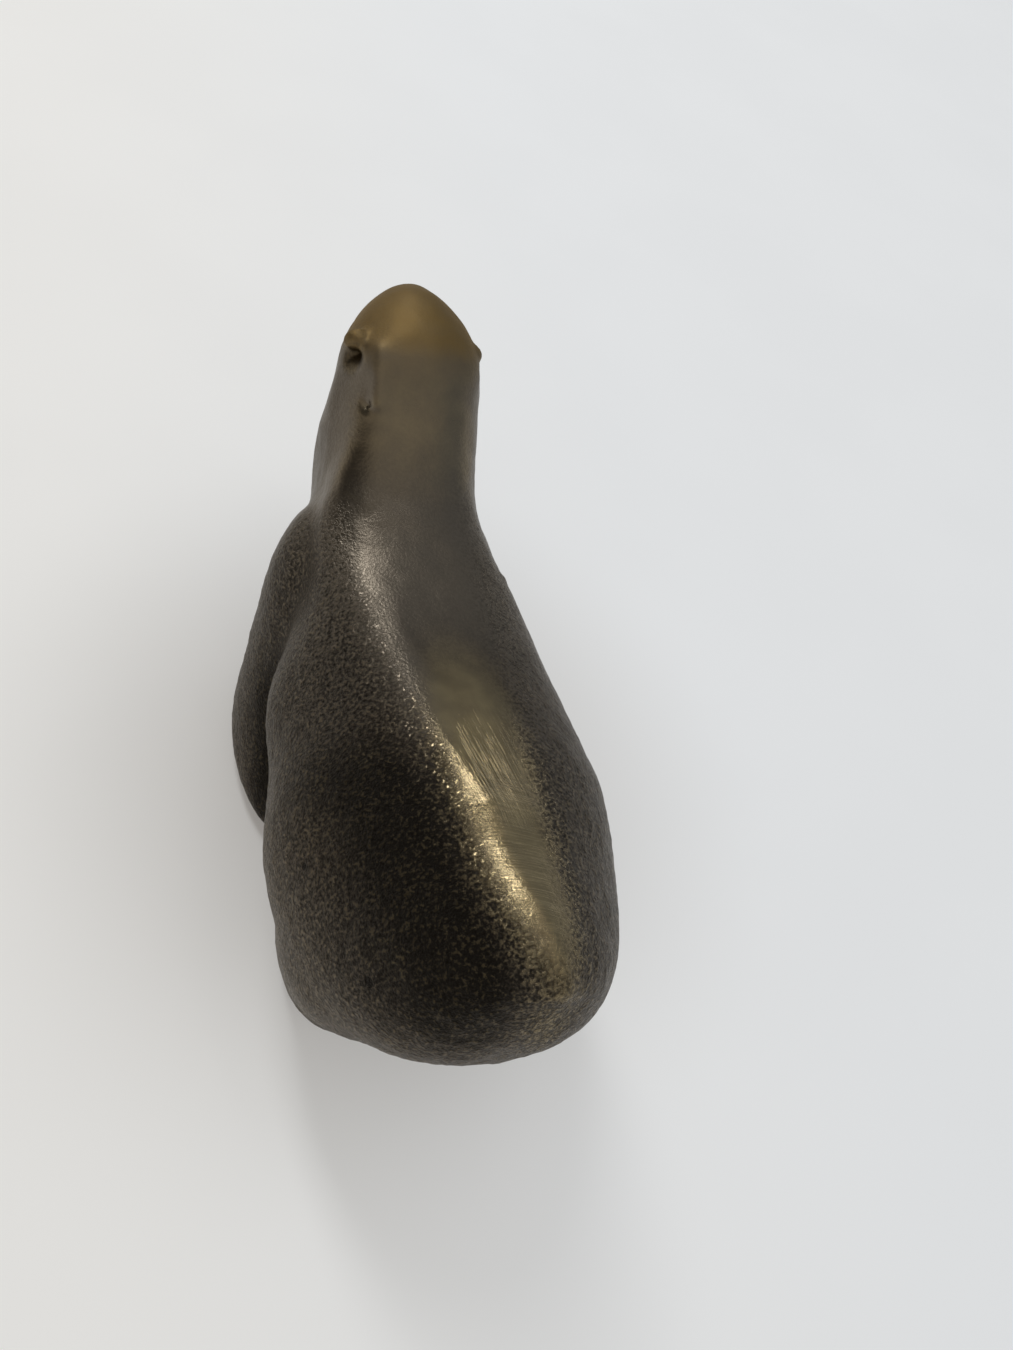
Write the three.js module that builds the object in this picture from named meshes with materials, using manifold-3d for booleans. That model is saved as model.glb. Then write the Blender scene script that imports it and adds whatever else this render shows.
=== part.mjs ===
// Bear figurine: a hollow bear of two half castings, brazed along the mid-plane, on four felt pads.
// Millimetres, +Z up. The bear faces -Y, its left side is +X, and it stands on the plane Z = 0.
import * as THREE from 'three';
import { mergeVertices } from 'three/addons/utils/BufferGeometryUtils.js';
import Module from 'manifold-3d';

const wasm = await Module();
wasm.setup();

// Overall sizes
const LENGTH = 126;
const WALL = 3;
const GAP = 0.3;

// Trunk and neck: distance forward of the rump, top, bottom, half width and roundness of the back
const TRUNK = [
  [0, 47, 38, 6.5, 1.9],
  [2.2, 53.6, 32.5, 11.5, 1.8],
  [6, 57.2, 25.5, 16.1, 1.75],
  [12, 58.2, 19, 20.2, 1.75],
  [21, 57.6, 14, 23.4, 1.8],
  [34, 56, 14.5, 25.2, 2],
  [48, 53.5, 16, 22.3, 2.35],
  [62, 52.4, 17, 19.2, 2.7],
  [76, 54.8, 17.5, 16.2, 2.6],
  [86, 61.4, 20, 13.5, 2.4],
  [93, 68.2, 25, 12.8, 2.4],
  [100, 72.2, 32.5, 12.2, 2.3],
  [107, 65, 46, 6.5, 2.1],
];
const WIDEST_HEIGHT = 0.44;
const BELLY_ROUNDNESS = 2.5;

// Hollow inside the trunk, from the rump wall to the solid neck
const HOLLOW_START = 6;
const HOLLOW_END = 90;

// Head: place, downward tilt, and sections of distance along the muzzle, half width, and reach up and down
const HEAD = { forward: 103.4, height: 60.5, tilt: THREE.MathUtils.degToRad(30) };
const HEAD_SECTIONS = [
  [-14, 0.5, 0.5, 0.5],
  [-13, 6.4, 3, 5.6],
  [-9, 10.2, 7.8, 9.6],
  [-3, 11.4, 11.5, 10.6],
  [4, 10, 11.8, 9.6],
  [9, 8.8, 9.6, 8.8],
  [13, 7.3, 6.6, 7.8],
  [18, 6.4, 5.6, 6.9],
  [22.6, 5.6, 4.8, 5.7],
  [24.8, 3.6, 2.6, 3.4],
  [25.4, 0.5, 0.5, 0.5],
];
const CROWN_ROUNDNESS = 1.62;
const EAR = { along: -6.4, side: 9, up: 4, radius: 2.5, thickness: 1.4 };

// Legs: height, distance forward of the rump, distance from the mid-plane, half length and half width
const PAD_THICKNESS = 1.2;
const PAD_SCALE = 0.85;
const FOOT_HEIGHT = PAD_THICKNESS + GAP;
const LEGS = {
  fore: [
    [FOOT_HEIGHT, 68.2, 15.2, 18, 7.8],
    [FOOT_HEIGHT + 1, 68.2, 15.2, 19, 8.6],
    [5, 68.4, 15.2, 19, 8.8],
    [12, 70.6, 14.8, 15, 8.8],
    [22, 75, 13.2, 13, 9],
    [32, 77.5, 11.3, 12.5, 9.4],
    [42, 80, 9, 10.5, 8.3],
    [49, 81.5, 6.5, 6, 4.5],
  ],
  hind: [
    [FOOT_HEIGHT, 28.8, 11.2, 12.3, 8],
    [FOOT_HEIGHT + 1, 28.8, 11.2, 13.2, 8.8],
    [5, 28.5, 11.2, 13.4, 9],
    [12, 25.8, 12, 11.7, 9.2],
    [20, 24, 12.8, 13.5, 10.2],
    [30, 21.5, 12.5, 14.5, 10.8],
    [40, 20, 10.5, 11.5, 10],
    [48, 20, 8, 6, 6],
  ],
};

// Inner pieces: dowels in bosses across the seam, and the braze bead along it
const DOWEL = { radius: 1.5, length: 14, bossRadius: 4, bossEnd: 2.2 };
const DOWEL_PLACES = [
  { name: 'rump_dowel', forward: 8.5, height: 40 },
  { name: 'withers_dowel', forward: 70, height: 45.8 },
  { name: 'chest_dowel', forward: 78, height: 22.5 },
];
const BEAD = { thickness: 1.8, width: 5 };
const BEAD_NAMES = ['spine_braze_bead', 'neck_braze_bead', 'belly_braze_bead'];

// Plug of the belly vent, with a slotted head on a flat seat
const VENT = { forward: 42, seat: 16.2, headRadius: 3.5, headHeight: 1, shankRadius: 2.2, shankTop: 17.9 };
const SLOT = { width: 0.8, depth: 0.5 };

// Resolution of the curved shapes
const AROUND = 40;
const TRUNK_STEPS = 36;
const LEG_STEPS = 16;
const HEAD_STEPS = 24;
const SMALL_AROUND = 24;
const CUT_SIZE = 200;

// Finishes
const BRONZE = new THREE.MeshStandardMaterial({ color: 0x3a3029, roughness: 0.45, metalness: 0.85 });
const BRAZE = new THREE.MeshStandardMaterial({ color: 0xb08d3e, roughness: 0.4, metalness: 1 });
const BRASS = new THREE.MeshStandardMaterial({ color: 0xa8843c, roughness: 0.35, metalness: 1 });
const FELT = new THREE.MeshStandardMaterial({ color: 0x2b2d2b, roughness: 0.95, metalness: 0 });

// Y coordinate of a distance forward of the rump
const fromRump = (forward) => LENGTH / 2 - forward;

// A circle's sine or cosine, squared up
const squareUp = (value, roundness) => Math.sign(value) * Math.abs(value) ** (2 / roundness);

// Values at a share of a list of stations, on a Catmull-Rom spline through each column
function alongStations(stations, share) {
  const place = share * (stations.length - 1);
  const index = Math.min(Math.floor(place), stations.length - 2);
  const near = (offset) => stations[THREE.MathUtils.clamp(index + offset, 0, stations.length - 1)];
  const step = place - index;
  return stations[0].map((_, column) => {
    const [before, from, to, after] = [-1, 0, 1, 2].map((offset) => near(offset)[column]);
    const bend = 2 * before - 5 * from + 4 * to - after;
    const twist = 3 * from - before - 3 * to + after;
    return from + 0.5 * step * (to - before + step * (bend + step * twist));
  });
}

// Share of the trunk's stations at a distance forward of the rump
function shareAt(forward) {
  let low = 0;
  let high = 1;
  while (high - low > 1e-6) {
    const middle = (low + high) / 2;
    if (alongStations(TRUNK, middle)[0] < forward) low = middle;
    else high = middle;
  }
  return low;
}

// Move every corner of a geometry by a function of its old place
function reshape(geometry, place) {
  const position = geometry.attributes.position;
  const corner = new THREE.Vector3();
  for (let index = 0; index < position.count; index += 1) {
    corner.fromBufferAttribute(position, index);
    position.setXYZ(index, ...place(corner));
  }
  return geometry;
}

// A closed solid from a three.js geometry
function solid(geometry) {
  geometry.deleteAttribute('normal');
  geometry.deleteAttribute('uv');
  const welded = mergeVertices(geometry, 1e-4);
  return new wasm.Manifold(new wasm.Mesh({
    numProp: 3,
    vertProperties: new Float32Array(welded.attributes.position.array),
    triVerts: new Uint32Array(welded.index.array),
  }));
}

// A named three.js mesh from a closed solid
function piece(name, body, material) {
  const { vertProperties, triVerts } = body.getMesh();
  const geometry = new THREE.BufferGeometry();
  geometry.setAttribute('position', new THREE.BufferAttribute(new Float32Array(vertProperties), 3));
  geometry.setIndex(new THREE.BufferAttribute(new Uint32Array(triVerts), 1));
  geometry.computeVertexNormals();
  const mesh = new THREE.Mesh(geometry, material);
  mesh.name = name;
  return mesh;
}

// Several solids joined into one
const join = (bodies) => bodies.reduce((whole, body) => whole.add(body));

// A round bar across the seam, along X
function crossBar(radius, length, { forward, height }) {
  const bar = new THREE.CylinderGeometry(radius, radius, length, SMALL_AROUND);
  return solid(bar.rotateZ(Math.PI / 2).translate(0, fromRump(forward), height));
}

// A round bar on the mid-plane, along Z
function uprightBar(radius, low, high, forward) {
  const bar = new THREE.CylinderGeometry(radius, radius, high - low, SMALL_AROUND);
  return solid(bar.rotateX(Math.PI / 2).translate(0, fromRump(forward), (low + high) / 2));
}

// Closed tube of unit sections, each corner placed by its share of the length and its place in the section
function loft(steps, place) {
  const tube = new THREE.CylinderGeometry(1, 1, 1, AROUND, steps).rotateX(Math.PI / 2);
  return solid(reshape(tube, ({ x, y, z }) => place(z + 0.5, x, y)));
}

// Trunk between two distances forward of the rump, drawn in from the surface by an inset
function trunkLoft(start, end, inset) {
  const first = shareAt(start);
  const last = shareAt(end);
  return loft(TRUNK_STEPS, (share, x, y) => {
    const station = alongStations(TRUNK, THREE.MathUtils.lerp(first, last, share));
    const [forward, top, bottom, half, backRoundness] = station;
    const middle = THREE.MathUtils.lerp(bottom, top, WIDEST_HEIGHT);
    const roundness = y > 0 ? backRoundness : BELLY_ROUNDNESS;
    const reach = (y > 0 ? top - middle : middle - bottom) - inset;
    const across = (half - inset) * squareUp(x, roundness);
    return [across, fromRump(forward), middle + reach * squareUp(y, roundness)];
  });
}

// Place on the tilted head, from distances across, along the muzzle and above its axis
function headPoint(across, along, up) {
  const forward = HEAD.forward + along * Math.cos(HEAD.tilt) + up * Math.sin(HEAD.tilt);
  const height = HEAD.height - along * Math.sin(HEAD.tilt) + up * Math.cos(HEAD.tilt);
  return [across, fromRump(forward), height];
}

// Head, with a peaked crown
function head() {
  return loft(HEAD_STEPS, (share, x, y) => {
    const [along, half, top, bottom] = alongStations(HEAD_SECTIONS, share);
    if (y < 0) return headPoint(half * x, along, bottom * y);
    return headPoint(half * squareUp(x, CROWN_ROUNDNESS), along, top * squareUp(y, CROWN_ROUNDNESS));
  });
}

// Ear on one side of the head
function ear(side) {
  const nub = new THREE.SphereGeometry(EAR.radius, 16, 12).scale(1, EAR.thickness / EAR.radius, 1);
  return solid(nub.rotateX(HEAD.tilt).translate(...headPoint(side * EAR.side, EAR.along, EAR.up)));
}

// Leg on one side
function leg(stations, hand) {
  return loft(LEG_STEPS, (share, x, y) => {
    const [height, forward, side, halfLength, halfWidth] = alongStations(stations, share);
    return [hand * side + halfWidth * x, fromRump(forward) + halfLength * y, height];
  });
}

// Felt pad under one paw
function pad([[, forward, side, halfLength, halfWidth]], hand) {
  const disc = new THREE.CylinderGeometry(PAD_SCALE, PAD_SCALE, PAD_THICKNESS, SMALL_AROUND);
  disc.rotateX(Math.PI / 2).scale(halfWidth, halfLength, 1);
  return solid(disc.translate(hand * side, fromRump(forward), PAD_THICKNESS / 2));
}

// Outline of the hollow on the mid-plane, drawn in by a clearance
function hollowOutline(clearance) {
  const first = shareAt(HOLLOW_START + clearance);
  const last = shareAt(HOLLOW_END - clearance);
  const inset = WALL + clearance;
  const upper = [];
  const lower = [];
  for (let step = 0; step <= TRUNK_STEPS; step += 1) {
    const share = THREE.MathUtils.lerp(first, last, step / TRUNK_STEPS);
    const [forward, top, bottom] = alongStations(TRUNK, share);
    upper.push(new THREE.Vector2(fromRump(forward), top - inset));
    lower.push(new THREE.Vector2(fromRump(forward), bottom + inset));
  }
  return [...upper, ...lower.reverse()];
}

// Braze beads: a band along the inside of the seam, trimmed to the hollow and broken by the dowel bosses
function brazeBeads() {
  const shape = new THREE.Shape(hollowOutline(0));
  shape.holes.push(new THREE.Path(hollowOutline(GAP + BEAD.thickness)));
  const band = new THREE.ExtrudeGeometry(shape, { depth: BEAD.width, bevelEnabled: false });
  band.translate(0, 0, -BEAD.width / 2).rotateX(Math.PI / 2).rotateZ(Math.PI / 2);
  const bosses = DOWEL_PLACES.map((place) => crossBar(DOWEL.bossRadius + GAP, 2 * BEAD.width, place));
  const inside = trunkLoft(HOLLOW_START + GAP, HOLLOW_END - GAP, WALL + GAP);
  const arcs = solid(band).intersect(inside).subtract(join(bosses)).decompose();
  const middleHeight = (arc) => (arc.boundingBox().min[2] + arc.boundingBox().max[2]) / 2;
  return arcs.sort((a, b) => middleHeight(b) - middleHeight(a));
}

// Plug with a slotted head, and the stepped hole that it closes
function ventPlug() {
  const top = VENT.seat - GAP;
  const low = top - VENT.headHeight;
  const slot = new THREE.BoxGeometry(SLOT.width, 3 * VENT.headRadius, 2 * SLOT.depth);
  const plug = join([
    uprightBar(VENT.headRadius, low, top, VENT.forward),
    uprightBar(VENT.shankRadius, low + SLOT.depth, VENT.shankTop, VENT.forward),
  ]);
  return plug.subtract(solid(slot.translate(0, fromRump(VENT.forward), low)));
}

function ventHole() {
  return join([
    uprightBar(VENT.headRadius + GAP, 0, VENT.seat, VENT.forward),
    uprightBar(VENT.shankRadius + GAP, 0, VENT.shankTop + WALL, VENT.forward),
  ]);
}

// The whole casting, hollowed, with bosses drilled for the dowels
function casting() {
  const trunk = trunkLoft(TRUNK[0][0], TRUNK[TRUNK.length - 1][0], 0);
  const limbs = Object.values(LEGS).flatMap((stations) => [leg(stations, 1), leg(stations, -1)]);
  const outside = join([trunk, head(), ear(1), ear(-1), ...limbs]);
  const drilled = DOWEL.length + 2 * GAP;
  const bosses = DOWEL_PLACES.map((place) => crossBar(DOWEL.bossRadius, drilled + 2 * DOWEL.bossEnd, place));
  const holes = DOWEL_PLACES.map((place) => crossBar(DOWEL.radius + GAP, drilled, place));
  return outside
    .subtract(trunkLoft(HOLLOW_START, HOLLOW_END, WALL))
    .add(join(bosses).intersect(trunk))
    .subtract(join(holes))
    .subtract(ventHole());
}

// One half of the casting, cut back from the mid-plane by half a gap
function half(whole, hand) {
  const block = new THREE.BoxGeometry(CUT_SIZE, CUT_SIZE, CUT_SIZE);
  return whole.intersect(solid(block.translate(hand * (CUT_SIZE / 2 + GAP / 2), 0, 0)));
}

const figurine = new THREE.Group();
figurine.name = 'bear_figurine';

const whole = casting();
figurine.add(piece('left_half_casting', half(whole, 1), BRONZE));
figurine.add(piece('right_half_casting', half(whole, -1), BRONZE));

brazeBeads().forEach((bead, index) => figurine.add(piece(BEAD_NAMES[index], bead, BRAZE)));

DOWEL_PLACES.forEach((place) => {
  figurine.add(piece(place.name, crossBar(DOWEL.radius, DOWEL.length, place), BRASS));
});

figurine.add(piece('vent_plug', ventPlug(), BRASS));

Object.entries(LEGS).forEach(([name, stations]) => {
  figurine.add(piece(`left_${name}_pad`, pad(stations, 1), FELT));
  figurine.add(piece(`right_${name}_pad`, pad(stations, -1), FELT));
});

export default figurine;
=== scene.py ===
"""Looks of a cast bear figurine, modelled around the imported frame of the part.

The figurine is two hollow half castings brazed along the mid-plane, on four felt pads. Sizes are in
millimetres until a mesh is made, and every mesh is in metres in the part's own frame: the bear faces -Y,
its left side is +X, and it stands on the plane Z = 0.
"""

import logging
import math
from dataclasses import dataclass
from enum import Enum
from typing import Any, Callable, Sequence

import bmesh
import bpy
import numpy as np
from mathutils import Matrix, Vector, noise


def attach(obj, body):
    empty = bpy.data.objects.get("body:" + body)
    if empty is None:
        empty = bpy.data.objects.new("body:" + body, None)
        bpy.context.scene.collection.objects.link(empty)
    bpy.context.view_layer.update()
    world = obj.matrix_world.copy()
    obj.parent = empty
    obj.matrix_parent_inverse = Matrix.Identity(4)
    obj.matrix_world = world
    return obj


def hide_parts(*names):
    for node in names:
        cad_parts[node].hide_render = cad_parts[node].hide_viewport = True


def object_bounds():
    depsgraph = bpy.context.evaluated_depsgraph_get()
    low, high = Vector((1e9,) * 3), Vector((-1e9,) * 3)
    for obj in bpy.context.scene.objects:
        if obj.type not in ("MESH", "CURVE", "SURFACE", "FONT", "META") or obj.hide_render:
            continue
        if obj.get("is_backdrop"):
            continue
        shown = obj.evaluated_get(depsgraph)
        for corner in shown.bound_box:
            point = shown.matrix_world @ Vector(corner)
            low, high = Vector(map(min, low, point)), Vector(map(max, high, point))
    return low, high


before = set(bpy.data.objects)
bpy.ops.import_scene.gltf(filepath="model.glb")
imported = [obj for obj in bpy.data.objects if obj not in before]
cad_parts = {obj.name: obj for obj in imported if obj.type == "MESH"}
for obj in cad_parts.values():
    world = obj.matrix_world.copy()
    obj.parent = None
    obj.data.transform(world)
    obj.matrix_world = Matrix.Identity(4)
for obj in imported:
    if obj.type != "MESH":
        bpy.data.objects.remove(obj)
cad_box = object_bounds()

MM = 0.001
BODY = "root"
LENGTH = 126.0
GAP = 0.3
TINY = 1e-6
BAR_SIDES = 32
SHARP_ANGLE = math.radians(50)

Station = tuple[float, ...]
Span = tuple[float, ...]
Place = Callable[[float, float, float], Vector]
Colour = tuple[float, float, float, float]

log = logging.getLogger("bear")


class Hand(Enum):
    """Side of the bear, as the sign of its X coordinate."""

    LEFT = 1
    RIGHT = -1


class Carve(Enum):
    """How one solid changes another."""

    REMOVE = "DIFFERENCE"
    JOIN = "UNION"


def from_rump(forward: float) -> float:
    """Give the Y coordinate, in millimetres, of a distance forward of the rump."""
    return LENGTH / 2 - forward


def along_stations(stations: Sequence[Station], share: float) -> Station:
    """Read every column of a list of stations on a Catmull-Rom spline.

    Args:
        stations: Rows of numbers, one row for each station.
        share: Place along the list, from 0 at the first row to 1 at the last.

    Returns:
        One number for each column.
    """
    last = len(stations) - 1
    index = min(int(share * last), last - 1)
    step = share * last - index
    rows = [stations[min(max(index + offset, 0), last)] for offset in (-1, 0, 1, 2)]
    values = []
    for before, start, end, after in zip(*rows):
        bend = 2 * before - 5 * start + 4 * end - after
        twist = 3 * start - before - 3 * end + after
        values.append(start + 0.5 * step * (end - before + step * (bend + step * twist)))
    return tuple(values)


def share_at(stations: Sequence[Station], forward: float) -> float:
    """Find the share of a list of stations at which its first column reaches a value.

    Args:
        stations: Rows whose first column grows along the list.
        forward: The value to reach.

    Returns:
        The share, from 0 to 1.
    """
    low, high = 0.0, 1.0
    while high - low > TINY:
        middle = (low + high) / 2
        if along_stations(stations, middle)[0] < forward:
            low = middle
        else:
            high = middle
    return low


def square_up(value: float, roundness: float) -> float:
    """Turn a circle's sine or cosine into a superellipse's."""
    return math.copysign(abs(value) ** (2 / roundness), value)


def smoothstep(low: float, high: float, value: np.ndarray) -> np.ndarray:
    """Ease from 0 at low to 1 at high; low may lie above high."""
    share = np.clip((value - low) / (high - low), 0.0, 1.0)
    return share * share * (3 - 2 * share)


def bell(centre: float, reach: float, value: np.ndarray) -> np.ndarray:
    """Fall off on both sides of a centre, to about a third at the reach."""
    return np.exp(-((value - centre) / reach) ** 2)


def link(name: str, mesh: bpy.types.Mesh) -> bpy.types.Object:
    """Put a mesh into the scene as an object at the origin.

    Args:
        name: Name of the new object.
        mesh: Its mesh.

    Returns:
        The new object.
    """
    piece = bpy.data.objects.new(name, mesh)
    bpy.context.scene.collection.objects.link(piece)
    return piece


def from_bmesh(name: str, bm: bmesh.types.BMesh) -> bpy.types.Object:
    """Make an object of a bmesh, with its faces turned outwards, and free the bmesh.

    Args:
        name: Name of the new object.
        bm: The closed shape, in metres.

    Returns:
        The new object.
    """
    bmesh.ops.recalc_face_normals(bm, faces=bm.faces)
    mesh = bpy.data.meshes.new(name)
    bm.to_mesh(mesh)
    bm.free()
    return link(name, mesh)


def drop(piece: bpy.types.Object) -> None:
    """Take a working object and its mesh out of the file."""
    mesh = piece.data
    bpy.data.objects.remove(piece)
    bpy.data.meshes.remove(mesh)


def apply_modifiers(piece: bpy.types.Object) -> None:
    """Bake an object's modifiers into its mesh.

    Args:
        piece: The object, which gets a new mesh.
    """
    graph = bpy.context.evaluated_depsgraph_get()
    baked = bpy.data.meshes.new_from_object(piece.evaluated_get(graph))
    old = piece.data
    piece.modifiers.clear()
    piece.data = baked
    bpy.data.meshes.remove(old)


def carve(piece: bpy.types.Object, tool: bpy.types.Object, how: Carve) -> None:
    """Change a piece by a tool solid, which is used up.

    Args:
        piece: The closed piece to change.
        tool: The closed solid to cut or join with.
        how: Whether the tool is removed or joined.
    """
    boolean = piece.modifiers.new("carve", "BOOLEAN")
    boolean.solver = "MANIFOLD"
    boolean.operation = how.value
    boolean.object = tool
    apply_modifiers(piece)
    drop(tool)


def loft(name: str, steps: int, around: int, place: Place) -> bpy.types.Object:
    """Bridge a row of rings into a closed tube.

    Args:
        name: Name of the new object.
        steps: Rings after the first.
        around: Corners in each ring.
        place: Gives a corner's place in millimetres, from its share of the length and its place on a
            unit circle.

    Returns:
        The new object.
    """
    bm = bmesh.new()
    rings = []
    for step in range(steps + 1):
        ring = bmesh.ops.create_circle(bm, segments=around, radius=1.0)["verts"]
        rings.append(list(dict.fromkeys(edge for vert in ring for edge in vert.link_edges)))
        for vert in ring:
            vert.co = place(step / steps, vert.co.x, vert.co.y) * MM
    for before, after in zip(rings, rings[1:]):
        bmesh.ops.bridge_loops(bm, edges=before + after)
    for end in (rings[0], rings[-1]):
        bmesh.ops.edgeloop_fill(bm, edges=end)
    return from_bmesh(name, bm)


def bar(name: str, radius: float, length: float, centre: Vector, axis: str) -> bpy.types.Object:
    """Make a round bar.

    Args:
        name: Name of the new object.
        radius: Radius in millimetres.
        length: Length in millimetres.
        centre: Middle of the bar in millimetres.
        axis: "X" or "Z", the way that the bar runs.

    Returns:
        The new object.
    """
    turn = Matrix.Rotation(math.pi / 2, 4, "Y") if axis == "X" else Matrix.Identity(4)
    bm = bmesh.new()
    bmesh.ops.create_cone(bm, cap_ends=True, segments=BAR_SIDES, radius1=radius * MM, radius2=radius * MM,
                          depth=length * MM, matrix=Matrix.Translation(centre * MM) @ turn)
    return from_bmesh(name, bm)


def join(name: str, pieces: Sequence[bpy.types.Object]) -> bpy.types.Object:
    """Gather the closed shells of several working objects in one object.

    Args:
        name: Name of the new object.
        pieces: The objects to gather, which are used up.

    Returns:
        The new object.
    """
    bm = bmesh.new()
    for piece in pieces:
        bm.from_mesh(piece.data)
        drop(piece)
    mesh = bpy.data.meshes.new(name)
    bm.to_mesh(mesh)
    bm.free()
    return link(name, mesh)


class Clay:
    """A piece's corners as arrays in millimetres, for sculpting moves."""

    def __init__(self, piece: bpy.types.Object) -> None:
        """Read the corners and normals of a piece.

        Args:
            piece: The piece to work on.
        """
        self.mesh = piece.data
        flat = np.empty(len(self.mesh.vertices) * 3, np.float64)
        self.mesh.vertices.foreach_get("co", flat)
        self.place = flat.reshape(-1, 3) / MM
        self.refresh()

    def refresh(self) -> None:
        """Read the normals again after a move."""
        flat = np.empty(len(self.mesh.vertices) * 3, np.float32)
        self.mesh.vertex_normals.foreach_get("vector", flat)
        self.normal = flat.reshape(-1, 3).astype(np.float64)

    @property
    def across(self) -> np.ndarray:
        """Distance to the bear's left of the mid-plane."""
        return self.place[:, 0]

    @property
    def forward(self) -> np.ndarray:
        """Distance forward of the rump."""
        return LENGTH / 2 - self.place[:, 1]

    @property
    def height(self) -> np.ndarray:
        """Height above the table."""
        return self.place[:, 2]

    @property
    def upward(self) -> np.ndarray:
        """Upward part of the normals."""
        return self.normal[:, 2]

    def near(self, start: Vector, radius: float, end: Vector | None = None) -> np.ndarray:
        """Weigh the corners by a soft rod between two spots.

        Args:
            start: One end of the rod, in millimetres.
            radius: Distance at which the weight falls to about a third.
            end: The other end of the rod, or None for a ball.

        Returns:
            A weight from 0 to 1 for each corner.
        """
        gap = self.place - np.array(start)
        if end is not None:
            way = np.array(end - start)
            share = np.clip(gap @ way / (way @ way), 0.0, 1.0)
            gap = gap - share[:, None] * way
        return np.exp(-np.sum(gap * gap, axis=1) / (radius * radius))

    def nearest(self, spot: Vector) -> Vector:
        """Give the place of the corner nearest to a spot, in millimetres."""
        gap = self.place - np.array(spot)
        return Vector(self.place[np.argmin(np.sum(gap * gap, axis=1))])

    def grain(self, size: float, detail: int) -> np.ndarray:
        """Read a soft noise at every corner.

        Args:
            size: Width of the noise's bumps, in millimetres.
            detail: Number of finer layers.

        Returns:
            A number from about -1 to 1 for each corner.
        """
        spots = (Vector(spot) / size for spot in self.place)
        return np.array([noise.fractal(spot, 1.0, 2.0, detail) for spot in spots])

    def swell(self, weight: np.ndarray, amount: float) -> None:
        """Move the corners along their normals, and write the mesh.

        Args:
            weight: A weight for each corner.
            amount: Distance in millimetres at a weight of 1, inwards where negative.
        """
        self.shift(weight * amount, self.normal)

    def shift(self, distance: np.ndarray, way: np.ndarray) -> None:
        """Move the corners one way, and write the mesh.

        Args:
            distance: Distance in millimetres for each corner.
            way: The direction, or one direction for each corner.
        """
        self.place += distance[:, None] * way
        self.mesh.vertices.foreach_set("co", (self.place * MM).ravel())
        self.mesh.update()
        self.refresh()

    def store(self, name: str, values: np.ndarray) -> None:
        """Keep a number for each corner as an attribute that materials can read.

        Args:
            name: Name of the attribute.
            values: One number for each corner.
        """
        layer = self.mesh.attributes.new(name, "FLOAT", "POINT")
        layer.data.foreach_set("value", values.astype(np.float32))


@dataclass(frozen=True)
class Zone:
    """A soft-edged region of the skin, with a span for each reading that bounds it.

    A span of two numbers fades in from the first to the second. A span of four also fades out, from the
    third to the fourth. The weights outside and inside the zone are low and high. Side and sideways are
    the place across and the normal's part across without their signs, beside is the distance to the left
    of the crest, and off_crest is the distance from it.
    """

    across: Span = ()
    side: Span = ()
    forward: Span = ()
    height: Span = ()
    upward: Span = ()
    sideways: Span = ()
    beside: Span = ()
    off_crest: Span = ()
    low: float = 0.0
    high: float = 1.0

    def weigh(self, readings: dict[str, np.ndarray]) -> np.ndarray:
        """Weigh the corners of the skin.

        Args:
            readings: A number for each corner, under the name of each span.

        Returns:
            A weight for each corner.
        """
        inside = np.ones(len(readings["across"]))
        for name, values in readings.items():
            span = getattr(self, name)
            if span:
                inside *= smoothstep(*span[:2], values)
            if span[2:]:
                inside *= 1 - smoothstep(*span[2:], values)
        return self.low + (self.high - self.low) * inside


@dataclass(frozen=True)
class Dab:
    """A soft lump on the skin, or a dent where its rise is negative."""

    start: Vector
    radius: float
    rise: float
    end: Vector | None = None

    def press(self, clay: Clay) -> None:
        """Work the dab into the skin."""
        clay.swell(clay.near(self.start, self.radius, self.end), self.rise)


class Signal:
    """A number in a node tree, whose arithmetic adds Math nodes."""

    def __init__(self, graph: "Graph", socket: bpy.types.NodeSocket) -> None:
        """Wrap an output socket."""
        self.graph = graph
        self.socket = socket

    def math(self, operation: str, first: Any, second: Any) -> "Signal":
        """Add a Math node.

        Args:
            operation: The node's operation.
            first: Its first value or link.
            second: Its second value or link.

        Returns:
            The result.
        """
        node = self.graph.add("ShaderNodeMath", {"operation": operation}, {0: first, 1: second})
        return self.graph.signal(node, "Value")

    def __add__(self, other: Any) -> "Signal":
        """Add a number."""
        return self.math("ADD", self, other)

    def __radd__(self, other: Any) -> "Signal":
        """Be added to a number."""
        return self.math("ADD", other, self)

    def __sub__(self, other: Any) -> "Signal":
        """Take a number away."""
        return self.math("SUBTRACT", self, other)

    def __rsub__(self, other: Any) -> "Signal":
        """Be taken from a number."""
        return self.math("SUBTRACT", other, self)

    def __mul__(self, other: Any) -> "Signal":
        """Multiply by a number."""
        return self.math("MULTIPLY", self, other)

    def __rmul__(self, other: Any) -> "Signal":
        """Multiply a number."""
        return self.math("MULTIPLY", other, self)

    def ease(self, low: float, high: float) -> "Signal":
        """Ease from 0 at one value to 1 at another.

        Args:
            low: Where the result is 0, which may lie above high.
            high: Where the result is 1.

        Returns:
            A number from 0 to 1.
        """
        settings = {"interpolation_type": "SMOOTHSTEP"}
        turned = low > high
        ends = {"From Min": min(low, high), "From Max": max(low, high)}
        node = self.graph.add("ShaderNodeMapRange", settings, {"Value": self} | ends)
        eased = self.graph.signal(node, "Result")
        return 1 - eased if turned else eased


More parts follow.
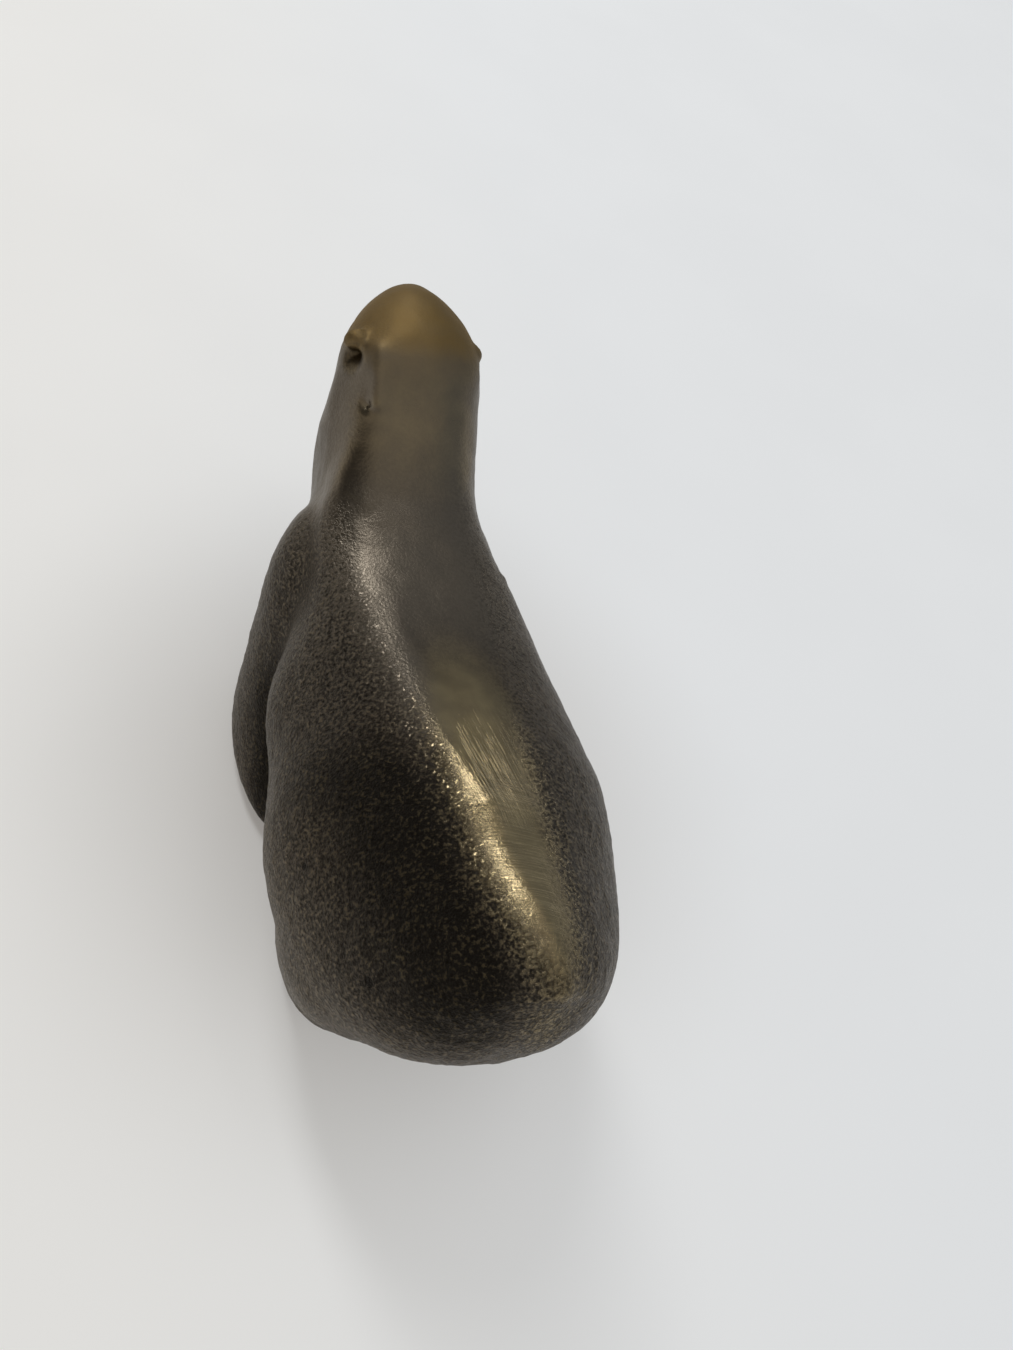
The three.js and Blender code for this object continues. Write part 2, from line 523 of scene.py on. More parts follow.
class Graph:
    """A node tree that is being written."""

    def __init__(self, tree: bpy.types.NodeTree) -> None:
        """Start with an empty tree."""
        self.tree = tree
        tree.nodes.clear()

    @staticmethod
    def find(sockets: Any, key: int | str) -> bpy.types.NodeSocket:
        """Find a socket.

        Args:
            sockets: Inputs or outputs of a node.
            key: The socket's index, identifier or name.

        Returns:
            The socket.
        """
        if isinstance(key, int):
            return sockets[key]
        return next((one for one in sockets if one.identifier == key), None) or sockets[key]

    def add(self, kind: str, settings: dict[str, Any] | None = None,
            sockets: dict[int | str, Any] | None = None) -> bpy.types.Node:
        """Add a node.

        Args:
            kind: The node's type.
            settings: Its own settings.
            sockets: Values or links of its inputs.

        Returns:
            The new node.
        """
        node = self.tree.nodes.new(kind)
        for name, value in (settings or {}).items():
            setattr(node, name, value)
        for key, value in (sockets or {}).items():
            socket = self.find(node.inputs, key)
            value = value.socket if isinstance(value, Signal) else value
            if isinstance(value, bpy.types.NodeSocket):
                self.tree.links.new(value, socket)
            else:
                socket.default_value = value
        return node

    def signal(self, node: bpy.types.Node, output: str) -> Signal:
        """Read a number from a node."""
        return Signal(self, self.find(node.outputs, output))

    def spots(self) -> bpy.types.NodeSocket:
        """Read the Object coordinates."""
        return self.add("ShaderNodeTexCoord").outputs["Object"]

    def attribute(self, name: str) -> Signal:
        """Read a number that the piece keeps for each corner."""
        return self.signal(self.add("ShaderNodeAttribute", {"attribute_name": name}), "Fac")

    def cells(self, spots: bpy.types.NodeSocket, size: float) -> Signal:
        """Read the distance to the nearest of many scattered spots, a size in millimetres apart."""
        sockets = {"Vector": spots, "Scale": 1 / (size * MM)}
        return self.signal(self.add("ShaderNodeTexVoronoi", {"feature": "F1"}, sockets), "Distance")

    def noise(self, spots: bpy.types.NodeSocket, size: float, detail: float,
              roughness: float = 0.5) -> Signal:
        """Read a noise texture.

        Args:
            spots: Coordinates in metres.
            size: Width of its bumps in millimetres.
            detail: Finer layers.
            roughness: Strength of the finer layers.

        Returns:
            A number around 0.5.
        """
        sockets = {"Vector": spots, "Scale": 1 / (size * MM), "Detail": detail, "Roughness": roughness}
        return self.signal(self.add("ShaderNodeTexNoise", None, sockets), "Fac")

    def scratches(self, spots: bpy.types.NodeSocket, turn: float, width: float, length: float) -> Signal:
        """Read a noise that is drawn out into lines across the plane seen from above.

        Args:
            spots: Coordinates in metres.
            turn: Angle of the lines from the X axis.
            width: Width of a line in millimetres.
            length: Length of a line in millimetres.

        Returns:
            A number around 0.5.
        """
        stretch = (length * MM, width * MM, length * MM)
        turned = self.add("ShaderNodeMapping", {"vector_type": "TEXTURE"},
                          {"Vector": spots, "Rotation": (0, 0, turn), "Scale": stretch})
        sockets = {"Vector": turned.outputs["Vector"], "Scale": 1.0, "Detail": 2.0}
        return self.signal(self.add("ShaderNodeTexNoise", None, sockets), "Fac")

    def mix(self, share: Any, first: Any, second: Any) -> bpy.types.NodeSocket:
        """Mix two colours.

        Args:
            share: Share of the second colour.
            first: The first colour or link.
            second: The second colour or link.

        Returns:
            The mixed colour.
        """
        node = self.add("ShaderNodeMix", {"data_type": "RGBA"},
                        {"Factor_Float": share, "A_Color": first, "B_Color": second})
        return self.find(node.outputs, "Result_Color")

    def bump(self, height: Signal, depth: float) -> bpy.types.NodeSocket:
        """Turn a height into a normal.

        Args:
            height: The height, of which 1 stands for the depth.
            depth: Depth in millimetres.

        Returns:
            The normal.
        """
        node = self.add("ShaderNodeBump", None, {"Strength": 1.0, "Distance": depth * MM, "Height": height})
        return node.outputs["Normal"]

    def surface(self, sockets: dict[int | str, Any]) -> None:
        """Finish a material with a Principled shader."""
        shader = self.add("ShaderNodeBsdfPrincipled", None, sockets)
        self.add("ShaderNodeOutputMaterial", None, {"Surface": shader.outputs["BSDF"]})


def start_material(name: str) -> tuple[bpy.types.Material, Graph]:
    """Make an empty material.

    Args:
        name: Name of the material.

    Returns:
        The material and its graph.
    """
    material = bpy.data.materials.new(name)
    material.use_nodes = True
    return material, Graph(material.node_tree)


@dataclass(frozen=True)
class BronzeFinish:
    """Dark brown patina over sand-cast bronze, worn to brass where it is rubbed and filed, with painted
    shade, painted reflections, a painted sheen and painted glints in its colour.
    """

    patina: Colour = (0.066, 0.054, 0.042, 1)
    patina_warm: Colour = (0.078, 0.06, 0.042, 1)
    # Dark colour of the grain's pits and the pinholes, also used for the painted shade
    pit_and_shade: Colour = (0.009, 0.007, 0.005, 1)
    brass: Colour = (0.31, 0.245, 0.135, 1)
    brass_dull: Colour = (0.255, 0.2, 0.112, 1)
    brass_warm: Colour = (0.25, 0.16, 0.05, 1)
    brass_cut: Colour = (0.42, 0.34, 0.2, 1)
    # Paler patina, also used for painted reflections, a painted sheen and painted glints
    thin_patina_and_sheen: Colour = (0.155, 0.13, 0.1, 1)
    edge: Colour = (0.8, 0.77, 0.73, 1)
    grain_size: float = 0.5
    pock_size: float = 0.8
    grain_depth: float = 0.22
    mottle_size: float = 3.2
    cloud_size: float = 14.0
    mark_width: float = 0.17
    along_turn: float = math.radians(101)
    along_length: float = 12.0
    over_turn: float = math.radians(-10)
    over_length: float = 9.0
    mark_depth: float = 0.1
    hole_depth: float = 3.0
    gloss: float = 0.32
    # Each row: place to the left, distance from the rump, height, radius
    pinholes: Sequence[tuple[float, float, float, float]] = (
        (16.6, 10.0, 45.6, 0.75),
        (21.9, 26.6, 42.7, 0.5),
        (19.5, 11.1, 36.5, 0.35),
    )

    def material(self) -> bpy.types.Material:
        """Write the material.

        Returns:
            The material, which reads the attributes that the weathering stores.
        """
        material, graph = start_material("bronze")
        spots = graph.spots()
        wear, rough, filed, drawn = (graph.attribute(name) for name in ("wear", "rough", "filed", "drawn"))
        pale, warm, painted_shade = (graph.attribute(name) for name in ("pale", "warm", "painted_shade"))
        grain = graph.noise(spots, self.grain_size, 3.0, 0.65)
        pocks = graph.cells(spots, self.pock_size).ease(0.1, 0.42)
        mottle = graph.noise(spots, self.mottle_size, 3.0)
        clouds = graph.noise(spots, self.cloud_size, 2.0)
        peaks = grain.ease(0.32, 0.66) * (0.25 + 0.75 * pocks)
        bare = (wear + (peaks - 0.4) * rough * 0.6 + (mottle - 0.5) * 0.2).ease(0.1, 1.1)
        along = graph.scratches(spots, self.along_turn, self.mark_width, self.along_length)
        over = graph.scratches(spots, self.over_turn, self.mark_width, self.over_length)
        lines = along.ease(0.46, 0.64) * drawn + over.ease(0.46, 0.66) * filed
        hole = self.holes(graph, spots)
        patina = graph.mix(clouds.ease(0.45, 0.75), self.patina, self.patina_warm)
        # Paler patina: thinned on the withers, a painted reflection on the low haunch and throat, a painted
        # sheen on the crest
        patina = graph.mix(pale * 0.75, patina, self.thin_patina_and_sheen)
        # Painted glints on the grain's peaks
        patina = graph.mix(peaks * rough * 0.4, patina, self.thin_patina_and_sheen)
        patina = graph.mix((1 - peaks) * rough * 0.9, patina, self.pit_and_shade)
        # Painted shade and a painted dark reflection darken the patina
        patina = graph.mix(painted_shade * 0.95, patina, self.pit_and_shade)
        brass = graph.mix(mottle.ease(0.25, 0.75), self.brass_dull, self.brass)
        brass = graph.mix(lines * 0.4, brass, self.brass_cut)
        brass = graph.mix(warm, brass, self.brass_warm)
        colour = graph.mix(hole, graph.mix(bare, patina, brass), self.pit_and_shade)
        height = peaks * (0.03 + 0.3 * rough + 0.67 * rough * rough)
        height = height - lines * self.mark_depth - hole * self.hole_depth
        graph.surface({
            "Base Color": colour,
            "Metallic": 0.85 + 0.15 * bare,
            "Specular Tint": self.edge,
            "Roughness": self.gloss - 0.13 * bare + 0.4 * warm + (mottle - 0.5) * 0.12,
            "Normal": graph.bump(height, self.grain_depth),
        })
        return material

    def holes(self, graph: Graph, spots: bpy.types.NodeSocket) -> Signal:
        """Mark the pinholes that gas left in the casting.

        Args:
            graph: The material's graph.
            spots: Object coordinates.

        Returns:
            1 in a pinhole and 0 elsewhere.
        """
        total = None
        for across, forward, height, radius in self.pinholes:
            spot = Vector((across, from_rump(forward), height)) * MM
            node = graph.add("ShaderNodeVectorMath", {"operation": "DISTANCE"}, {0: spots, 1: spot})
            hole = graph.signal(node, "Value").ease(radius * MM, 0.8 * radius * MM)
            total = hole if total is None else total + hole
        return total


@dataclass(frozen=True)
class BrassFinish:
    """Bare brass, dulled in patches."""

    name: str
    bright: Colour
    dull: Colour
    lump_depth: float
    patch_size: float = 4.0
    lump_size: float = 1.1

    def material(self) -> bpy.types.Material:
        """Write the material.

        Returns:
            The material.
        """
        material, graph = start_material(self.name)
        spots = graph.spots()
        patches = graph.noise(spots, self.patch_size, 3.0)
        lumps = graph.noise(spots, self.lump_size, 2.0)
        graph.surface({
            "Base Color": graph.mix(patches.ease(0.4, 0.65), self.bright, self.dull),
            "Metallic": 1.0,
            "Roughness": 0.25 + patches * 0.25,
            "Normal": graph.bump(lumps, self.lump_depth),
        })
        return material


@dataclass(frozen=True)
class FeltFinish:
    """Pressed dark felt."""

    dark: Colour = (0.02, 0.024, 0.021, 1)
    light: Colour = (0.05, 0.056, 0.05, 1)
    fuzz_size: float = 0.35
    fuzz_depth: float = 0.15

    def material(self) -> bpy.types.Material:
        """Write the material.

        Returns:
            The material.
        """
        material, graph = start_material("felt")
        spots = graph.spots()
        fuzz = graph.noise(spots, self.fuzz_size, 4.0, 0.7)
        graph.surface({
            "Base Color": graph.mix(fuzz.ease(0.35, 0.7), self.dark, self.light),
            "Roughness": 0.95,
            "Sheen Weight": 0.3,
            "Normal": graph.bump(fuzz, self.fuzz_depth),
        })
        return material


@dataclass(frozen=True)
class FloorFinish:
    """Pale table top, whose glow is darker near the bear as a painted shadow, and cooler on the bear's
    right and warmer on its left as a painted tint of the room's light.
    """

    pale: Colour = (0.55, 0.55, 0.545, 1)
    worn: Colour = (0.535, 0.535, 0.53, 1)
    glow_warm: Colour = (0.41, 0.4, 0.382, 1)
    glow_cool: Colour = (0.388, 0.4, 0.415, 1)
    shade: Colour = (0.18, 0.165, 0.15, 1)
    shade_reach: float = 0.085
    cloud_size: float = 60.0
    glow_turn: float = 0.1

    def material(self) -> bpy.types.Material:
        """Write the material, whose glow only the camera and shiny surfaces see.

        Returns:
            The material.
        """
        material, graph = start_material("table_top")
        spots = graph.spots()
        clouds = graph.noise(spots, self.cloud_size, 3.0)
        across = graph.signal(graph.add("ShaderNodeSeparateXYZ", None, {"Vector": spots}), "X")
        # Painted tint of the room's light: cooler on the bear's right, warmer on its left
        glow = graph.mix(across.ease(-self.glow_turn, self.glow_turn), self.glow_cool, self.glow_warm)
        # Painted shadow: the glow fades to the shade colour near the bear
        centre = graph.add("ShaderNodeVectorMath", {"operation": "LENGTH"}, {0: spots})
        open_share = graph.signal(centre, "Value").ease(0.0, self.shade_reach)
        glow = graph.mix(open_share, self.shade, glow)
        path = graph.add("ShaderNodeLightPath")
        seen = graph.signal(path, "Is Camera Ray") + graph.signal(path, "Is Glossy Ray")
        graph.surface({
            "Base Color": graph.mix(clouds.ease(0.35, 0.65), self.pale, self.worn),
            "Roughness": 0.6,
            "Specular IOR Level": 0.3,
            "Emission Color": graph.mix(seen, (0, 0, 0, 1), glow),
            "Emission Strength": 1.0,
        })
        return material


@dataclass(frozen=True)
class Dowels:
    """Sizes of the dowels across the seam and of the bosses that hold them."""

    radius: float = 1.5
    length: float = 14.0
    boss_radius: float = 4.0
    boss_end: float = 2.2
    # Each row: distance from the rump, height
    places: Sequence[tuple[float, float]] = ((8.5, 40.0), (70.0, 45.8), (78.0, 22.5))


@dataclass(frozen=True)
class Vent:
    """Sizes of the stepped hole in the belly and of its slotted plug."""

    forward: float = 42.0
    seat: float = 16.2
    head_radius: float = 3.5
    head_height: float = 1.0
    shank_radius: float = 2.2
    shank_top: float = 17.9
    slot_width: float = 0.8
    slot_depth: float = 0.5
    edge: float = 0.12

    def upright(self, name: str, radius: float, low: float, high: float) -> bpy.types.Object:
        """Make a round bar on the vent's axis.

        Args:
            name: Name of the new object.
            radius: Radius in millimetres.
            low: Height of its lower end.
            high: Height of its upper end.

        Returns:
            The new object.
        """
        centre = Vector((0, from_rump(self.forward), (low + high) / 2))
        return bar(name, radius, high - low, centre, "Z")

    def build(self, finish: bpy.types.Material) -> None:
        """Make the plug.

        Args:
            finish: Its material.
        """
        top = self.seat - GAP
        low = top - self.head_height
        plug = self.upright("slotted_plug", self.head_radius, low, top)
        shank = self.upright("shank", self.shank_radius, low + self.slot_depth, self.shank_top)
        carve(plug, shank, Carve.JOIN)
        bm = bmesh.new()
        centre = Vector((0, from_rump(self.forward), low)) * MM
        size = Vector((self.slot_width, 3 * self.head_radius, 2 * self.slot_depth)) * MM
        place = Matrix.Translation(centre) @ Matrix.Diagonal((*size, 1.0))
        bmesh.ops.create_cube(bm, size=1.0, matrix=place)
        carve(plug, from_bmesh("slot", bm), Carve.REMOVE)
        soften = plug.modifiers.new("soften", "BEVEL")
        soften.width = self.edge * MM
        soften.segments = 2
        soften.limit_method = "ANGLE"
        apply_modifiers(plug)
        dress(plug, finish, ["vent_plug"])


def dress(piece: bpy.types.Object, finish: bpy.types.Material, nodes: Sequence[str]) -> None:
    """Give a piece its finish and tell the frame what it stands for.

    Args:
        piece: The finished piece.
        finish: Its material.
        nodes: The CAD nodes that it stands for.
    """
    piece.data.materials.clear()
    piece.data.materials.append(finish)
    piece.data.polygons.foreach_set("use_smooth", [True] * len(piece.data.polygons))
    piece.data.set_sharp_from_angle(angle=SHARP_ANGLE)
    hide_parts(*nodes)
    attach(piece, BODY)
    log.info("%s: %d faces", piece.name, len(piece.data.polygons))


@dataclass
class Casting:
    """The hollow bear, sculpted whole and then parted into two halves along the mid-plane."""

    # Each row: distance from the rump, top, bottom, half width, roundness of the back
    trunk: Sequence[Station] = (
        (0, 47, 38, 6.5, 1.9),
        (2.2, 53.6, 32.5, 11.5, 1.8),
        (6, 57.2, 25.5, 16.1, 1.75),
        (12, 58.2, 19, 20.2, 1.75),
        (21, 57.6, 14, 23.4, 1.8),
        (34, 56, 14.5, 25.2, 2.0),
        (48, 53.5, 16, 22.3, 2.35),
        (62, 52.4, 17, 19.2, 2.7),
        (76, 54.8, 17.5, 16.2, 2.6),
        (86, 61.4, 20, 13.5, 2.4),
        (93, 68.2, 25, 12.8, 2.4),
        (100, 72.2, 32.5, 12.2, 2.3),
        (107, 65, 46, 6.5, 2.1),
    )
    # Each row: distance along the muzzle, half width, rise of the crown, drop of the jaw
    head: Sequence[Station] = (
        (-14, 0.5, 0.5, 0.5),
        (-13, 6.4, 3.4, 5.6),
        (-9, 10.2, 8.4, 9.6),
        (-3, 11.8, 11.7, 10.6),
        (4, 10.3, 12.2, 9.6),
        (9, 9.0, 9.9, 8.9),
        (13, 7.5, 6.9, 8.0),
        (18, 6.6, 6.0, 7.1),
        (23, 5.9, 5.4, 6.0),
        (25.6, 4.2, 4.0, 4.0),
        (26.4, 0.5, 0.5, 0.5),
    )
    # Each row of a leg: height, distance from the rump, place to the side, half length, half width
    fore_leg: Sequence[Station] = (
        (1.5, 68.2, 15.2, 18, 7.8),
        (2.5, 68.2, 15.2, 19, 8.6),
        (5, 68.4, 15.2, 19, 8.8),
        (12, 70.6, 14.8, 15, 8.8),
        (22, 75, 13.2, 13, 9),
        (32, 77.5, 11.3, 12.5, 9.4),
        (42, 80, 9, 10.5, 8.3),
        (49, 81.5, 6.5, 6, 4.5),
    )
    hind_leg: Sequence[Station] = (
        (1.5, 28.8, 11.2, 12.3, 8),
        (2.5, 28.8, 11.2, 13.2, 8.8),
        (5, 28.5, 11.2, 13.4, 9),
        (12, 25.8, 12, 11.7, 9.2),
        (20, 24, 12.8, 13.5, 10.2),
        (30, 21.5, 12.5, 14.5, 10.8),
        (40, 20, 10.5, 11.5, 10),
        (48, 20, 8, 6, 6),
    )
    widest_height: float = 0.44
    belly_roundness: float = 2.5
    head_forward: float = 103.4
    head_height: float = 60.5
    head_tilt: float = math.radians(30)
    crown_roundness: float = 1.62
    head_turn: float = 0.05
    # Places on the head: to the left, along the muzzle, above its axis
    left_ear: Vector = Vector((9.7, -6.6, 3.7))
    right_ear: Vector = Vector((-8.7, -5.2, 3.1))
    ear_radius: float = 2.1
    ear_thickness: float = 1.9
    ear_hollow: Vector = Vector((0.5, 1.9, -2.1))
    ear_dish: Vector = Vector((0.7, -1.7, 0.5))
    pit_depth: float = 1.9
    pit_radius: float = 1.6
    dish_radius: float = 1.2
    dish_way: Vector = Vector((0.0, 0.9, -0.18))
    # Each row: distance from the rump, place to the left, rise, width, rounding of the edge
    crest: Sequence[Station] = (
        (3, -3.0, 2.4, 5.5, 0.5),
        (8, -2.1, 2.1, 6.0, 0.5),
        (16, -0.4, 1.5, 5.5, 0.5),
        (19, 0.1, 0.9, 5.0, 0.5),
        (21.5, 0.6, 0.6, 4.5, 0.5),
        (24, 1.0, 1.1, 4.5, 0.5),
        (26.5, 1.3, 1.6, 4.5, 0.5),
        (30, 1.9, 1.2, 4.5, 0.5),
        (33, 3.0, 0.9, 4.5, 0.6),
        (38, 5.2, 1.0, 4.5, 0.9),
        (56, 9.6, 1.5, 6.0, 1.5),
        (75, 13.2, 2.2, 7.5, 1.6),
        (83, 13.4, 1.6, 7.0, 1.4),
        (90, 9.2, 0.8, 5.0, 0.8),
        (97, 7.6, 0.5, 4.5, 0.5),
        (101, 7.6, 0.0, 4.5, 0.5),
    )
    crest_reach: Zone = Zone(forward=(0, 5), upward=(0.2, 0.7))
    sway_bell: Span = (80, 8)
    sway: Zone = Zone(height=(26, 42), high=1.4)
    flank_bell: Span = (57, 9)
    flank_height_bell: Span = (36, 12)
    flank: Zone = Zone(across=(8, 18), high=2.4)
    shoulder_nub: Dab = Dab(Vector((-13.0, from_rump(69.9), 47.6)), 0.8, 0.7)
    neck_flaw: Dab = Dab(Vector((8.2, from_rump(90.6), 62.8)), 0.8, -0.8)
    strip: Dab = Dab(Vector((6.7, from_rump(95.5), 69)), 1.3, 0.55, Vector((6.9, from_rump(90), 63.8)))
    nose: Station = (1.4, 25.6, 1.6)
    nose_radius: float = 1.5
    nose_rise: float = 0.7
    eye: Station = (6.4, 10.5, 5.7)
    eye_radius: float = 1.5
    eyeball: float = 0.8
    nostril: Station = (1.8, 26.2, 1.2)
    nostril_radius: float = 0.8
    mouth: Sequence[Station] = ((0.3, 26.2, -1.8), (3.6, 25.4, -2.0), (5.8, 22, -2.6), (7.4, 13.5, -3.8))
    mouth_radius: float = 0.7
    face_depth: float = 0.8
    toe_gaps: Sequence[float] = (-0.45, 0.0, 0.45)
    toe_front: Span = (0.45, 0.8)
    toe_reach: float = 1.4
    toe_height: Span = (10, 5)
    toe_groove: float = 0.6
    toe_depth: float = 0.7
    seam: Zone = Zone(upward=(0.1, -0.3), height=(6, 12))
    seam_width: float = 0.6
    seam_rise: float = 0.15
    lump_size: float = 5.0
    lump_rise: float = 0.12
    grain_size: float = 1.3
    grain_rise: float = 0.09
    wall: float = 3.0
    hollow: tuple[float, float] = (6.0, 90.0)
    trunk_mesh: tuple[int, int] = (72, 64)
    head_mesh: tuple[int, int] = (48, 48)
    leg_mesh: tuple[int, int] = (32, 40)
    sole_height: float = 1.5
    sole_fade: float = 5.0
    blend_voxel: float = 0.84
    blend_rounds: int = 45
    fine_voxel: float = 0.5
    fine_rounds: int = 8

    def trunk_tube(self, name: str, start: float, end: float, inset: float) -> bpy.types.Object:
        """Loft the trunk and neck.

        Args:
            name: Name of the new object.
            start: Where the tube starts, forward of the rump.
            end: Where the tube ends.
            inset: Distance that the tube lies below the casting's skin.

        Returns:
            The new object.
        """
        first, last = share_at(self.trunk, start), share_at(self.trunk, end)

        def place(share: float, x: float, y: float) -> Vector:
            """Give a corner of the trunk.

            Args:
                share: Share of the tube's length.
                x: Place across on a unit circle.
                y: Place up on a unit circle.

            Returns:
                The corner in millimetres.
            """
            station = along_stations(self.trunk, first + share * (last - first))
            forward, top, bottom, half, back_roundness = station
            middle = bottom + self.widest_height * (top - bottom)
            roundness = back_roundness if y > 0 else self.belly_roundness
            reach = (top - middle if y > 0 else middle - bottom) - inset
            across = (half - inset) * square_up(x, roundness)
            return Vector((across, from_rump(forward), middle + reach * square_up(y, roundness)))

        return loft(name, *self.trunk_mesh, place)

    def head_point(self, across: float, along: float, up: float) -> Vector:
        """Give a place on the tilted head, in millimetres.

        Args:
            across: Distance to the bear's left.
            along: Distance along the muzzle.
            up: Distance above the muzzle's axis.

        Returns:
            The place in the part's frame.
        """
        cosine, sine = math.cos(self.head_tilt), math.sin(self.head_tilt)
        forward = self.head_forward + along * cosine + up * sine
        turned = across - self.head_turn * max(along - self.head[0][0], 0.0)
        return Vector((turned, from_rump(forward), self.head_height - along * sine + up * cosine))

    def head_tube(self) -> bpy.types.Object:
        """Loft the head along the muzzle.

        Returns:
            The new object.
        """

        def place(share: float, x: float, y: float) -> Vector:
            """Give a corner of the head.

            Args:
                share: Share of the muzzle's length.
                x: Place across on a unit circle.
                y: Place up on a unit circle.

            Returns:
                The corner in millimetres.
            """
            along, half, top, bottom = along_stations(self.head, share)
            if y < 0:
                return self.head_point(half * x, along, bottom * y)
            crown = self.crown_roundness
            return self.head_point(half * square_up(x, crown), along, top * square_up(y, crown))

        return loft("head", *self.head_mesh, place)

    def leg_tube(self, stations: Sequence[Station], hand: Hand) -> bpy.types.Object:
        """Loft one leg.

        Args:
            stations: Height, place and half sizes of the leg's sections.
            hand: Side of the bear.

        Returns:
            The new object.
        """

        def place(share: float, x: float, y: float) -> Vector:
            """Give a corner of the leg.

            Args:
                share: Share of the leg's height.
                x: Place across on a unit circle.
                y: Place backward on a unit circle.

            Returns:
                The corner in millimetres.
            """
            height, forward, side, half_length, half_width = along_stations(stations, share)
            across = hand.value * side + half_width * x
            return Vector((across, from_rump(forward) + half_length * y, height))

        return loft("leg", *self.leg_mesh, place)

    def ear_spot(self, hand: Hand, offset: Vector = Vector((0, 0, 0))) -> Vector:
        """Give a place by an ear, whose offset is mirrored on the right."""
        place = self.left_ear if hand is Hand.LEFT else self.right_ear
        return self.head_point(*place) + Vector((hand.value * offset.x, offset.y, offset.z))

    def ear_pit(self, hand: Hand) -> tuple[Vector, Vector]:
        """Give the mouth and the bottom of the hollow behind an ear."""
        mouth = self.ear_spot(hand, self.ear_hollow)
        return mouth, mouth + Vector((-hand.value, -1.0, 0.0)) * self.pit_depth

    def ear_nub(self, hand: Hand) -> bpy.types.Object:
        """Make one ear, a flattened ball set in the side of the head.

        Args:
            hand: Side of the bear.

        Returns:
            The new object.
        """
        spot = Matrix.Translation(self.ear_spot(hand) * MM)
        squash = Matrix.Diagonal((1.0, self.ear_thickness / self.ear_radius, 1.0, 1.0))
        bm = bmesh.new()
        bmesh.ops.create_uvsphere(bm, u_segments=24, v_segments=16, radius=self.ear_radius * MM,
                                  matrix=spot @ Matrix.Rotation(self.head_tilt, 4, "X") @ squash)
        return from_bmesh("ear", bm)

    def remesh(self, piece: bpy.types.Object, voxel: float, rounds: int) -> None:
        """Melt the shells of a piece into one skin and blend the creases between them.

        Args:
            piece: The piece, whose shells overlap.
            voxel: Size of the skin's faces in millimetres.
            rounds: Smoothing rounds, which spare the soles of the paws.
        """
        melt = piece.modifiers.new("melt", "REMESH")
        melt.mode = "VOXEL"
        melt.voxel_size = voxel * MM
        apply_modifiers(piece)
        group = piece.vertex_groups.new(name="blend")
        for corner in piece.data.vertices:
            share = (corner.co.z / MM - self.sole_height) / self.sole_fade
            group.add([corner.index], min(max(share, 0.0), 1.0), "REPLACE")
        blend = piece.modifiers.new("blend", "SMOOTH")
        blend.factor = 0.5
        blend.iterations = rounds
        blend.vertex_group = "blend"
        apply_modifiers(piece)
        piece.vertex_groups.clear()

    def skin(self) -> bpy.types.Object:
        """Make the whole outer skin, without its details.

        Returns:
            The new object.
        """
        tubes = [self.trunk_tube("trunk", self.trunk[0][0], self.trunk[-1][0], 0.0), self.head_tube()]
        for hand in Hand:
            tubes.append(self.leg_tube(self.fore_leg, hand))
            tubes.append(self.leg_tube(self.hind_leg, hand))
        whole = join("skin", tubes)
        self.remesh(whole, self.blend_voxel, self.blend_rounds)
        whole = join("skin", [whole] + [self.ear_nub(hand) for hand in Hand])
        self.remesh(whole, self.fine_voxel, self.fine_rounds)
        self.hollow_ears(Clay(whole))
        return whole

    def hollow_ears(self, clay: Clay) -> None:
        """Press a deep hollow behind each ear and a shallow dish in its front.

        Args:
            clay: The skin.
        """
        for hand in Hand:
            mouth, bottom = self.ear_pit(hand)
            clay.shift(clay.near(mouth, self.pit_radius), np.array(bottom - mouth))
            dish = self.ear_spot(hand, self.ear_dish)
            clay.shift(clay.near(dish, self.dish_radius), np.array(self.dish_way))

    def beside_crest(self, clay: Clay) -> np.ndarray:
        """Measure how far each corner lies to the left of the crest."""
        forward, across, *_ = np.array(self.crest).T
        return clay.across - np.interp(clay.forward, forward, across)

    def weigh(self, clay: Clay, zone: Zone) -> np.ndarray:
        """Weigh the corners of the skin by a zone.

        Args:
            clay: The skin.
            zone: The zone.

        Returns:
            A weight for each corner.
        """
        beside = self.beside_crest(clay)
        return zone.weigh({
            "across": clay.across,
            "side": np.abs(clay.across),
            "forward": clay.forward,
            "height": clay.height,
            "upward": clay.upward,
            "sideways": np.abs(clay.normal[:, 0]),
            "beside": beside,
            "off_crest": np.abs(beside),
        })

    def sculpt(self, clay: Clay) -> None:
        """Work the details into the skin.

        Args:
            clay: The skin.
        """
        self.sculpt_back(clay)
        self.sculpt_head(clay)
        self.sculpt_paws(clay)
        seam = bell(0.0, self.seam_width, clay.across)
        clay.swell(seam * self.weigh(clay, self.seam), self.seam_rise)
        clay.swell(clay.grain(self.lump_size, 2), self.lump_rise)
        clay.swell(clay.grain(self.grain_size, 2) * Weathering(self, clay).roughness(), self.grain_rise)

    def sculpt_back(self, clay: Clay) -> None:
        """Raise the crest from the left of the neck to the rump, and shape the neck, flank and flaws.

        Args:
            clay: The skin.
        """
        forward, _, *columns = np.array(self.crest).T
        rise, width, edge = (np.interp(clay.forward, forward, column) for column in columns)
        gap = np.hypot(self.beside_crest(clay), edge) - edge
        clay.swell(np.exp(-gap / width) * rise * self.weigh(clay, self.crest_reach), 1.0)
        leftward = np.array((1.0, 0.0, 0.0))
        clay.shift(bell(*self.sway_bell, clay.forward) * self.weigh(clay, self.sway), leftward)
        self.shoulder_nub.press(clay)
        flank = bell(*self.flank_bell, clay.forward) * bell(*self.flank_height_bell, clay.height)
        clay.shift(flank * self.weigh(clay, self.flank), leftward)
        self.neck_flaw.press(clay)

    def head_spot(self, hand: Hand, spot: Station) -> Vector:
        """Give a spot of the head, which is mirrored on the right."""
        across, along, up = spot
        return self.head_point(hand.value * across, along, up)

